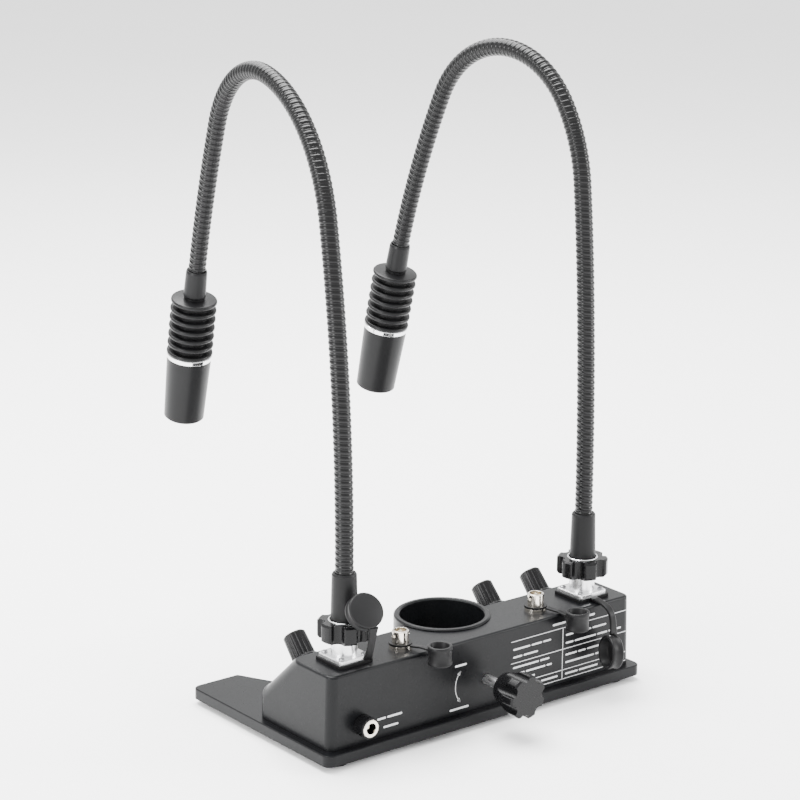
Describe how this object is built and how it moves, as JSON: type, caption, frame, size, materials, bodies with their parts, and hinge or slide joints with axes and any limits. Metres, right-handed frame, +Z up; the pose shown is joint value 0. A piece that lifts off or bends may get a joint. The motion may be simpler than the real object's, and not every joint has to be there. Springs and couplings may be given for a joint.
{
  "type": "gooseneck microscope illuminator",
  "caption": "Gooseneck LED lamp base that clamps round a microscope column, with flexible lamp arms, dimmer knobs and capped outlets.",
  "frame": {"origin": "on the column bore's axis, in the plane of the base plate's underside", "axes": "+Z up along the column bore, -Y towards the user (dimmer knobs and lamps), +Y towards the rear wall with the power inlet, +X to the user's right"},
  "size_m": [0.2368, 0.2742, 0.3809],
  "materials": {
    "powder_coat": "satin black powder coat",
    "black_anodised": "satin black anodised",
    "hose_sheath": "black corrugated gooseneck",
    "black_plastic": "moulded satin",
    "black_rubber": "moulded matte",
    "bright_aluminium": "machined",
    "nickel": "nickel plate",
    "chrome_trim": "polished",
    "steel": "turned",
    "contact_insulator": "moulded",
    "circuit_board": "solder mask",
    "board_parts": "moulded",
    "copper_wire": "insulated",
    "led_white": "phosphor",
    "lens_glass": "clear"
  },
  "bodies": {
    "base": {"base_plate": "powder_coat", "housing_shell": "powder_coat", "housing_bosses": "steel", "column_collar": "powder_coat", "rubber_feet": "black_rubber", "base_screws": "steel", "clamp_boss": "steel", "dc_inlet": "black_plastic", "dc_inlet_contacts": "nickel", "driver_boards": "circuit_board", "board_standoffs": "nickel", "board_parts": "board_parts", "lead_wires": "copper_wire", "panel_nuts": "nickel", "outlet_contacts": "contact_insulator", "socket_screws": "steel", "socket_gaskets": "black_rubber", "aux_cap_rings": "black_rubber", "potentiometers": "board_parts", "right_aux_jack": "nickel", "left_aux_jack": "nickel", "right_lamp_socket": "bright_aluminium", "left_lamp_socket": "bright_aluminium"},
    "clamp_slider": {"clamp_pad": "contact_insulator"},
    "clamp_handle": {"clamp_screw": "steel", "clamp_knob": "black_plastic"},
    "right_lamp_knob": {"right_lamp_dimmer": "black_plastic"},
    "right_aux_knob": {"right_aux_dimmer": "black_plastic"},
    "left_lamp_knob": {"left_lamp_dimmer": "black_plastic"},
    "left_aux_knob": {"left_aux_dimmer": "black_plastic"},
    "right_nut": {"right_hand_nut": "black_plastic", "right_nut_ring": "chrome_trim"},
    "right_lower_arm": {"right_arm_plug": "bright_aluminium", "right_base_sleeve": "black_rubber", "right_hose_lower": "hose_sheath"},
    "right_middle_arm": {"right_hose_middle": "hose_sheath"},
    "right_upper_arm": {"right_hose_upper": "hose_sheath"},
    "right_head": {"right_end_ferrule": "black_anodised", "right_heat_sink": "black_anodised", "right_trim_ring": "chrome_trim", "right_lamp_barrel": "black_anodised", "right_led_module": "led_white", "right_lamp_lens": "lens_glass"},
    "left_nut": {"left_hand_nut": "black_plastic", "left_nut_ring": "chrome_trim"},
    "left_lower_arm": {"left_arm_plug": "bright_aluminium", "left_base_sleeve": "black_rubber", "left_hose_lower": "hose_sheath"},
    "left_middle_arm": {"left_hose_middle": "hose_sheath"},
    "left_upper_arm": {"left_hose_upper": "hose_sheath"},
    "left_head": {"left_end_ferrule": "black_anodised", "left_heat_sink": "black_anodised", "left_trim_ring": "chrome_trim", "left_lamp_barrel": "black_anodised", "left_led_module": "led_white", "left_lamp_lens": "lens_glass"},
    "right_socket_cap": {"right_lamp_cap": "black_rubber"},
    "left_socket_cap": {"left_lamp_cap": "black_rubber"},
    "right_outlet_cap": {"right_aux_cap": "black_rubber"},
    "left_outlet_cap": {"left_aux_cap": "black_rubber"}
  },
  "joints": [
    {"name": "clamp_travel", "type": "slide", "parent": "base", "child": "clamp_slider", "axis": [0, -1, 0], "range_m": [0, 0.01401]},
    {"name": "clamp_turn", "type": "hinge", "parent": "clamp_slider", "child": "clamp_handle", "pos_m": [0, 0.067, 0.0235], "axis": [0, -1, 0], "range_deg": [0, 5040]},
    {"name": "right_lamp_dimming", "type": "hinge", "parent": "base", "child": "right_lamp_knob", "pos_m": [0.0895, -0.01165, 0.03705], "axis": [0, -0.679, 0.7341], "range_deg": [-150, 150]},
    {"name": "right_aux_dimming", "type": "hinge", "parent": "base", "child": "right_aux_knob", "pos_m": [0.051, -0.01165, 0.03705], "axis": [0, -0.679, 0.7341], "range_deg": [-150, 150]},
    {"name": "left_lamp_dimming", "type": "hinge", "parent": "base", "child": "left_lamp_knob", "pos_m": [-0.0895, -0.01165, 0.03705], "axis": [0, -0.679, 0.7341], "range_deg": [-150, 150]},
    {"name": "left_aux_dimming", "type": "hinge", "parent": "base", "child": "left_aux_knob", "pos_m": [-0.051, -0.01165, 0.03705], "axis": [0, -0.679, 0.7341], "range_deg": [-150, 150]},
    {"name": "right_nut_turn", "type": "hinge", "parent": "base", "child": "right_nut", "pos_m": [0.0895, 0.023, 0.07], "axis": [0, 0, 1], "range_deg": [0, 720]},
    {"name": "right_arm_swivel", "type": "hinge", "parent": "base", "child": "right_lower_arm", "pos_m": [0.0895, 0.023, 0.0565], "axis": [0, 0, 1], "range_deg": [-12, 60]},
    {"name": "right_lower_bend", "type": "hinge", "parent": "right_lower_arm", "child": "right_middle_arm", "pos_m": [0.08852, 0.01672, 0.22125], "axis": [0.988, -0.1542, 0], "range_deg": [-25, 25]},
    {"name": "right_upper_bend", "type": "hinge", "parent": "right_middle_arm", "child": "right_upper_arm", "pos_m": [0.07824, -0.04912, 0.36206], "axis": [0.988, -0.1542, 0], "range_deg": [-25, 15]},
    {"name": "right_head_tilt", "type": "hinge", "parent": "right_upper_arm", "child": "right_head", "pos_m": [0.0607, -0.16157, 0.23821], "axis": [0.988, -0.1542, 0], "range_deg": [-30, 20]},
    {"name": "left_nut_turn", "type": "hinge", "parent": "base", "child": "left_nut", "pos_m": [-0.0895, 0.023, 0.07], "axis": [0, 0, 1], "range_deg": [0, 720]},
    {"name": "left_arm_swivel", "type": "hinge", "parent": "base", "child": "left_lower_arm", "pos_m": [-0.0895, 0.023, 0.0565], "axis": [0, 0, 1], "range_deg": [-60, 12]},
    {"name": "left_lower_bend", "type": "hinge", "parent": "left_lower_arm", "child": "left_middle_arm", "pos_m": [-0.08934, 0.0206, 0.22146], "axis": [0.9977, 0.0675, 0], "range_deg": [-25, 25]},
    {"name": "left_upper_bend", "type": "hinge", "parent": "left_middle_arm", "child": "left_upper_arm", "pos_m": [-0.08527, -0.03948, 0.37096], "axis": [0.9977, 0.0675, 0], "range_deg": [-25, 15]},
    {"name": "left_head_tilt", "type": "hinge", "parent": "left_upper_arm", "child": "left_head", "pos_m": [-0.07847, -0.14009, 0.24019], "axis": [0.9977, 0.0675, 0], "range_deg": [-30, 20]},
    {"name": "right_socket_cap_flex", "type": "hinge", "parent": "base", "child": "right_socket_cap", "pos_m": [0.083, 0.0358, 0.0536], "axis": [-0.8944, 0.4472, 0], "range_deg": [-3, 70], "stiffness_Nm_per_rad": 0.03},
    {"name": "left_socket_cap_flex", "type": "hinge", "parent": "base", "child": "left_socket_cap", "pos_m": [-0.088, 0.0358, 0.0522], "axis": [1, 0, 0], "range_deg": [0, 80], "stiffness_Nm_per_rad": 0.03},
    {"name": "right_outlet_cap_flex", "type": "hinge", "parent": "base", "child": "right_outlet_cap", "pos_m": [0.0487, 0.0324, 0.0527], "axis": [0.9665, 0.2567, 0], "range_deg": [0, 95], "stiffness_Nm_per_rad": 0.03},
    {"name": "left_outlet_cap_flex", "type": "hinge", "parent": "base", "child": "left_outlet_cap", "pos_m": [-0.0539, 0.0322, 0.0527], "axis": [0.9452, 0.3264, 0], "range_deg": [0, 95], "stiffness_Nm_per_rad": 0.03}
  ],
  "couplings": [
    {"joint": "clamp_travel", "follows": "clamp_turn", "m_per_rad": 0.00015915}
  ]
}
